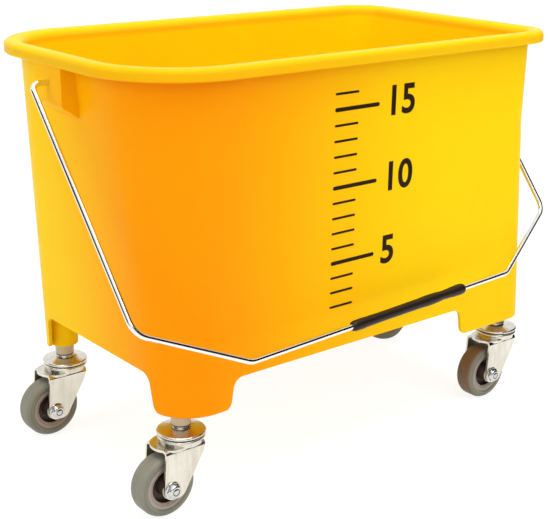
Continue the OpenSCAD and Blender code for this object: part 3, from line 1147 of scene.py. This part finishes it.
def grid(name: str, width: float, height: float, place: Matrix,
         material: Material) -> bpy.types.Object:
    """Makes a flat rectangle that is part of the studio.

    Args:
        name: Its name.
        width: Its size along its own X axis.
        height: Its size along its own Y axis.
        place: Its place and turn.
        material: Its material.

    Returns:
        The rectangle's object.
    """
    mesh = bmesh.new()
    bmesh.ops.create_grid(mesh, x_segments=1, y_segments=1, size=0.5)
    bmesh.ops.scale(mesh, vec=(width, height, 1.0), verts=mesh.verts)
    bmesh.ops.transform(mesh, matrix=place, verts=mesh.verts)
    data = bpy.data.meshes.new(name)
    mesh.to_mesh(data)
    mesh.free()
    data.materials.append(material)
    rectangle = bpy.data.objects.new(name, data)
    bpy.context.scene.collection.objects.link(rectangle)
    return rectangle


def split_rays(tree: Tree, hidden: Node, seen: Node, output: Node) -> None:
    """Gives one shader to light and another to the rays that show a background.

    Those rays come straight, mirrored or through something clear.

    Args:
        tree: The node tree to add to.
        hidden: The shader for all other rays.
        seen: The shader for the rays that show a background.
        output: The tree's output node.
    """
    path = new_node(tree, "LightPath", {})
    total = path.outputs["Is Camera Ray"]
    for label in ("Is Glossy Ray", "Is Transmission Ray"):
        total = new_node(tree, "Math", {0: total, 1: path.outputs[label]},
                         operation="ADD", use_clamp=True).outputs[0]
    pick = new_node(tree, "MixShader", {
        0: total, 1: hidden.outputs[0], 2: seen.outputs[0]})
    tree.links.new(pick.outputs[0], output.inputs["Surface"])


@dataclass(frozen=True)
class Lamp:
    """A soft square lamp: its side in metres, its power in watts, its shine."""

    name: str
    place: Place
    size: float
    power: float
    shine: float = 1.0

    def build(self) -> None:
        """Places the lamp, facing the object."""
        data = bpy.data.lights.new(self.name, "AREA")
        data.shape = "SQUARE"
        data.size = self.size
        data.energy = self.power
        data.specular_factor = self.shine
        lamp = bpy.data.objects.new(self.name, data)
        bpy.context.scene.collection.objects.link(lamp)
        lamp.matrix_world = facing(Vector(self.place), MIDDLE)


@dataclass(frozen=True)
class Card:
    """A black card that only mirrors see, to line the bright metal."""

    name: str
    place: Place
    width: float
    height: float

    def build(self) -> None:
        """Stands the card up, facing the object."""
        material = bpy.data.materials.new(self.name)
        material.use_nodes = True
        shader = material.node_tree.nodes["Principled BSDF"]
        shader.inputs["Base Color"].default_value = (0.0, 0.0, 0.0, 1.0)
        shader.inputs["Specular IOR Level"].default_value = 0.0
        card = grid(self.name, self.width, self.height,
                    facing(Vector(self.place), MIDDLE), material)
        card.visible_camera = False
        card.visible_diffuse = False
        card.visible_shadow = False
        card.visible_transmission = False


@dataclass
class Studio:
    """The floor, the lights and the camera."""

    eye: Place = (-0.63908, -0.77956, 0.4764)
    target: Place = (0.00811, -0.00110, 0.1507)
    roll_deg: float = 0.82
    lens: float = 79.3
    shift_x: float = -0.031
    shift_y: float = -0.008
    nearest: float = 0.01
    furthest: float = 100.0
    floor_side: float = 60.0
    floor_grey: float = 0.80
    shadow_share: float = 0.27
    floor_glow: float = 0.86
    world_light: float = 0.53
    lamps: tuple[Lamp, ...] = (
        Lamp("key", (0.30, -1.75, 1.55), 1.4, 13),
        Lamp("fill", (-1.8, 0.1, 1.2), 1.2, 8.5, 0.3),
        Lamp("top", (-0.1, -0.30, 2.2), 1.6, 38))
    cards: tuple[Card, ...] = (
        Card("front_card", (0.50, -1.60, 0.74), 2.8, 1.45),
        Card("right_card", (1.75, -0.45, 0.72), 2.0, 1.5),
        Card("near_card", (0.50, -0.78, 0.82), 0.8, 0.6),
        Card("left_card", (-1.75, 0.25, 0.66), 1.7, 1.3))

    def build(self) -> None:
        """Builds the whole studio."""
        self.camera()
        grid("floor", self.floor_side, self.floor_side, Matrix(),
             self.floor_material())
        self.world()
        for item in self.lamps + self.cards:
            item.build()
        log.info("built the studio")

    def camera(self) -> None:
        """Places the camera."""
        data = bpy.data.cameras.new("camera")
        data.lens = self.lens
        data.shift_x, data.shift_y = self.shift_x, self.shift_y
        data.clip_start, data.clip_end = self.nearest, self.furthest
        camera = bpy.data.objects.new("camera", data)
        bpy.context.scene.collection.objects.link(camera)
        roll = Matrix.Rotation(math.radians(self.roll_deg), 4, "Z")
        camera.matrix_world = facing(Vector(self.eye), Vector(self.target)) @ roll
        bpy.context.scene.camera = camera

    def floor_material(self) -> Material:
        """Makes the floor white to the eye and in the metal, under soft shadows.

        Returns:
            The floor's material.
        """
        material = bpy.data.materials.new("floor")
        material.use_nodes = True
        tree = material.node_tree
        tree.nodes.remove(tree.nodes["Principled BSDF"])
        plain, seen = (
            new_node(tree, "BsdfDiffuse", {"Color": (grey, grey, grey, 1.0)})
            for grey in (self.floor_grey, self.shadow_share))
        glow = new_node(tree, "Emission", {"Strength": self.floor_glow})
        both = new_node(tree, "AddShader", {0: seen.outputs[0],
                                            1: glow.outputs[0]})
        split_rays(tree, plain, both, tree.nodes["Material Output"])
        return material

    def world(self) -> None:
        """Lights the scene evenly, with a white background."""
        world = bpy.data.worlds.new("studio")
        bpy.context.scene.world = world
        world.use_nodes = True
        tree = world.node_tree
        light = tree.nodes["Background"]
        light.inputs["Color"].default_value = (1, 1, 1, 1)
        light.inputs["Strength"].default_value = self.world_light
        white = new_node(tree, "Background", {"Color": (1, 1, 1, 1)})
        split_rays(tree, light, white, tree.nodes["World Output"])


def main() -> None:
    """Builds the looks of the bucket in order."""
    bpy.context.scene.view_settings.view_transform = "Standard"
    Studio().build()
    effects = Effects()
    materials = {finish.name: finish.material(effects)
                 for finish in (PLASTIC, WIRE, GRIP, NYLON, ZINC, BOLT, BALL,
                                CORE, INK, SHADE_RING)}
    for corner in Corner:
        name = corner.value
        # the right-hand treads get a painted orange reflection of the tub, the others dust
        dirt_and_reflection = PAINTED_REFLECTION if name.endswith("right") else DUST
        materials[f"{name}_tyre"] = TYRE.for_wheel(effects, corner, dirt_and_reflection)
        materials[f"{name}_wheel_core"] = CORE.for_wheel(effects, corner)
    dress_solids(materials)
    HandGrip().build(materials["dark_grip"])
    for corner in Corner:
        CasterDetails(corner, materials).build()
    FillScale().build(materials["printed_ink"])


if __name__ == "__main__":
    main()
